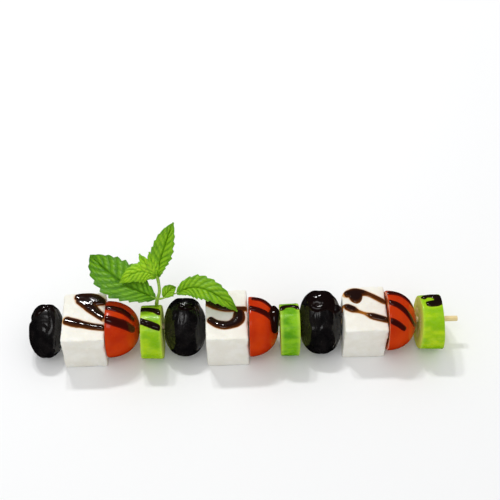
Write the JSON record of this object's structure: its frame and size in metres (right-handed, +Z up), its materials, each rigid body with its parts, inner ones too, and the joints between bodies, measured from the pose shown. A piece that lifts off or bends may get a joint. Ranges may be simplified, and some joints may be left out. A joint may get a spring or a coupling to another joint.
{
  "type": "greek salad skewer",
  "caption": "Greek salad skewer with black olives, feta cubes, cherry tomato halves and cucumber slices on a bamboo stick, drizzled with balsamic glaze and topped with a sprig of mint",
  "frame": {"origin": "the middle of the middle feta block's underside, below the stick's axis", "axes": "+X along the stick towards its free end, -Y to the front, +Z up"},
  "size_m": [0.1997, 0.0478, 0.0519],
  "materials": {
    "bamboo": "pale planed bamboo, dull",
    "olive_skin": "black olive skin, wet and glossy",
    "feta_cheese": "white cheese, matt and slightly crumbly",
    "tomato_skin": "ripe tomato skin, smooth and glossy",
    "cucumber_skin": "light green cucumber skin, satin",
    "mint_leaf": "fresh green leaf, satin"
  },
  "bodies": {
    "root": {"stick": "bamboo", "olive_1": "olive_skin", "feta_1": "feta_cheese", "tomato_1": "tomato_skin", "cucumber_1": "cucumber_skin", "olive_2": "olive_skin", "feta_2": "feta_cheese", "tomato_2": "tomato_skin", "cucumber_2": "cucumber_skin", "olive_3": "olive_skin", "feta_3": "feta_cheese", "tomato_3": "tomato_skin", "cucumber_3": "cucumber_skin", "mint_sprig": "mint_leaf"}
  },
  "joints": []
}
